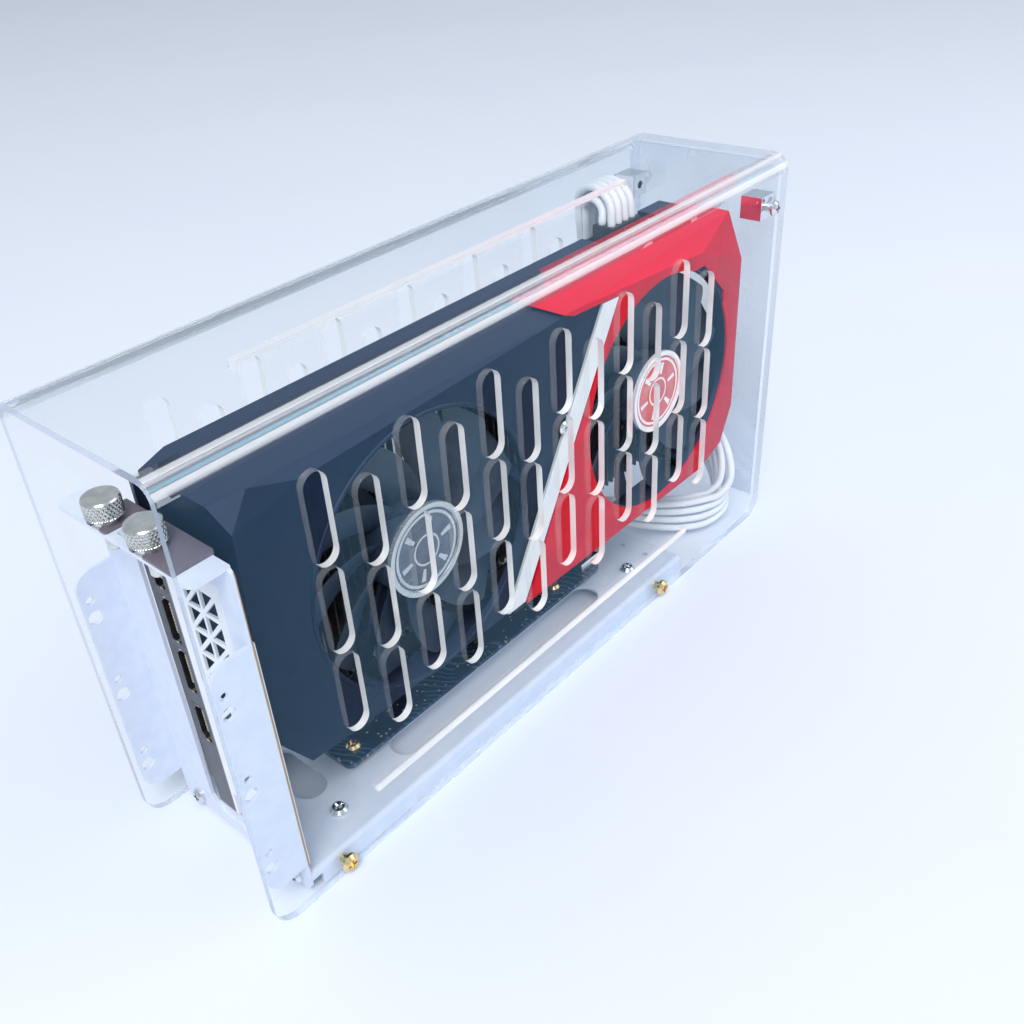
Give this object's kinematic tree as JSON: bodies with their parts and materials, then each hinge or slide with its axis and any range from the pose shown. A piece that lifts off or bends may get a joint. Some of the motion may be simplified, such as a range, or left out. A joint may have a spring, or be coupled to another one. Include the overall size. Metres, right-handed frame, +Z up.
{
  "type": "external gpu dock",
  "caption": "Clear bent cover over a white folded tray that holds a seated graphics card, with a front shelf, knurled screws and cooling slots.",
  "frame": {"origin": "centre of the footprint, on the surface the dock stands on", "axes": "+X along the dock from the display sockets to the rear, -Y is the fan side, +Z up"},
  "size_m": [0.282, 0.0762, 0.161],
  "materials": {
    "clear_acrylic": "clear polished sheet",
    "bright_steel": "bright",
    "nickel": "knurled nickel",
    "gold_screws": "bright",
    "white_metal": "white powder coat",
    "white_bracket": "white",
    "foot_rubber": "matt",
    "board_green": "solder mask",
    "slot_plastic": "moulded black",
    "latch_plastic": "white",
    "chip_black": "package",
    "coil_grey": "ferrite",
    "cap_metal": "cans",
    "port_metal": "shells",
    "fin_metal": "stamped",
    "pipe_copper": "copper",
    "navy_shroud": "satin dark",
    "red_panel": "satin red",
    "silver_strip": "silver",
    "fan_plastic": "satin",
    "hub_metal": "bright rim",
    "black_plate": "satin black",
    "wire_white": "white jacket"
  },
  "bodies": {
    "dock": {"acrylic_cover": "clear_acrylic", "rear_panel": "clear_acrylic", "corner_blocks": "bright_steel", "corner_block_screws": "bright_steel", "cover_screws": "gold_screws", "base_tray": "white_metal", "rubber_feet": "foot_rubber", "tray_screws": "bright_steel", "front_plate": "white_metal", "front_plate_screws": "bright_steel", "board_standoffs": "gold_screws", "board_screws": "gold_screws", "dock_board": "board_green", "pcie_slot": "slot_plastic", "power_inlet": "slot_plastic", "power_output_socket": "slot_plastic", "host_port": "bright_steel", "board_chips": "chip_black", "board_coils": "coil_grey", "board_capacitors": "cap_metal", "card_pcb": "board_green", "card_bracket": "white_bracket", "display_ports": "port_metal", "gpu_chip": "chip_black", "memory_chips": "chip_black", "card_coils": "coil_grey", "heatsink_fins": "fin_metal", "heat_pipes": "pipe_copper", "shroud": "navy_shroud", "red_shroud_panel": "red_panel", "diagonal_strip": "silver_strip", "shroud_screws": "bright_steel", "fan_frame_front": "fan_plastic", "fan_frame_rear": "fan_plastic", "fan_screws": "bright_steel", "backplate": "black_plate", "backplate_screws": "bright_steel", "card_power_socket": "slot_plastic", "card_plug": "slot_plastic", "power_wires": "wire_white", "power_bundle": "wire_white", "board_plug": "slot_plastic"},
    "fan_front": {"fan_rotor_front": "fan_plastic", "hub_cap_front": "hub_metal"},
    "fan_rear": {"fan_rotor_rear": "fan_plastic", "hub_cap_rear": "hub_metal"},
    "far_thumbscrew": {"thumbscrew_far": "nickel"},
    "near_thumbscrew": {"thumbscrew_near": "nickel"},
    "retaining_latch": {"slot_latch": "latch_plastic"}
  },
  "joints": [
    {"name": "fan_front_spin", "type": "hinge", "parent": "dock", "child": "fan_front", "pos_m": [-0.0555, -0.021, 0.0895], "axis": [0, 1, 0], "continuous": true},
    {"name": "fan_rear_spin", "type": "hinge", "parent": "dock", "child": "fan_rear", "pos_m": [0.07, -0.021, 0.0895], "axis": [0, 1, 0], "continuous": true},
    {"name": "far_thumbscrew_lift", "type": "slide", "parent": "dock", "child": "far_thumbscrew", "axis": [0, 0, 1], "range_m": [0, 0.008]},
    {"name": "near_thumbscrew_lift", "type": "slide", "parent": "dock", "child": "near_thumbscrew", "axis": [0, 0, 1], "range_m": [0, 0.008]},
    {"name": "latch_swing", "type": "hinge", "parent": "dock", "child": "retaining_latch", "pos_m": [0.0205, 0.0133, 0.0186], "axis": [0, 1, 0], "range_deg": [0, 25]}
  ]
}
